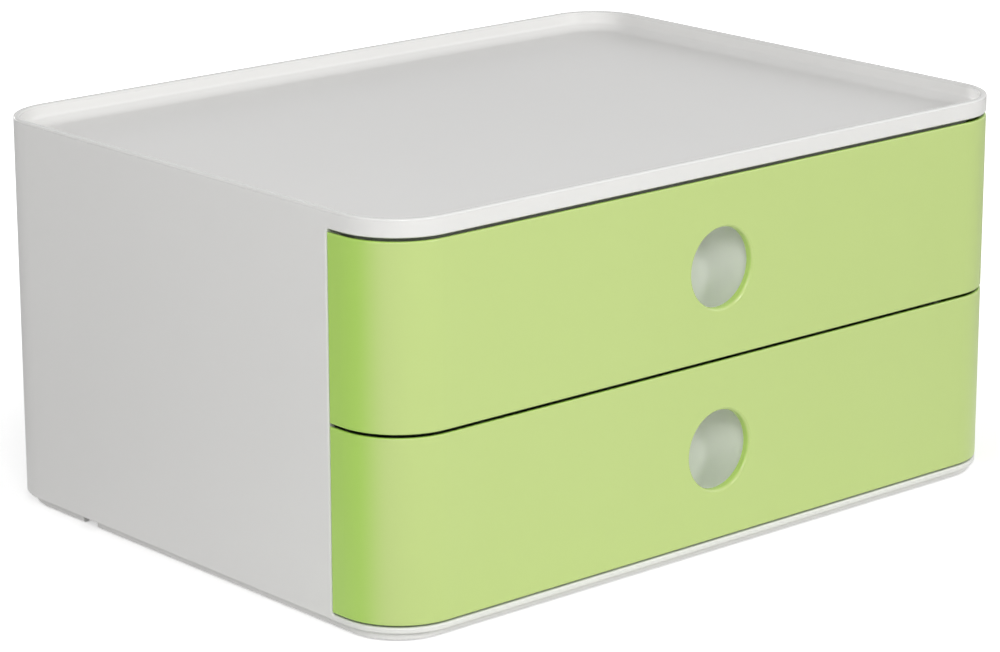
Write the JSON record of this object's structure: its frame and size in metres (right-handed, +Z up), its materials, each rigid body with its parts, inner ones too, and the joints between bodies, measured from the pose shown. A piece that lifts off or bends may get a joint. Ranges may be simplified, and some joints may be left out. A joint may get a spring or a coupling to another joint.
{
  "type": "desktop drawer box",
  "caption": "Low desktop storage box with rounded corners, a rimmed tray top and stacked pull-out drawers with wrap-around coloured fronts and round finger holes.",
  "frame": {"origin": "under the middle of the box, on the surface that the feet stand on", "axes": "+Z up, +X to the right seen from the front, +Y to the rear; the drawers open along -Y"},
  "size_m": [0.26, 0.195, 0.1255],
  "materials": {
    "housing_white": "smooth satin-gloss white moulding",
    "front_lime": "smooth satin-gloss lime green moulding",
    "tray_white": "plain white moulding, satin",
    "runner_white": "plain white moulding, slightly waxy",
    "foot_rubber": "dull grey rubber"
  },
  "bodies": {
    "housing": {"housing_shell": "housing_white", "foot_front_left": "foot_rubber", "foot_front_right": "foot_rubber", "foot_rear_left": "foot_rubber", "foot_rear_right": "foot_rubber", "runner_lower_left": "runner_white", "runner_lower_right": "runner_white", "runner_upper_left": "runner_white", "runner_upper_right": "runner_white"},
    "lower_drawer": {"drawer_front_lower": "front_lime", "drawer_tray_lower": "tray_white"},
    "upper_drawer": {"drawer_front_upper": "front_lime", "drawer_tray_upper": "tray_white"}
  },
  "joints": [
    {"name": "lower_drawer_slide", "type": "slide", "parent": "housing", "child": "lower_drawer", "axis": [0, -1, 0], "range_m": [0, 0.125]},
    {"name": "upper_drawer_slide", "type": "slide", "parent": "housing", "child": "upper_drawer", "axis": [0, -1, 0], "range_m": [0, 0.125]}
  ]
}
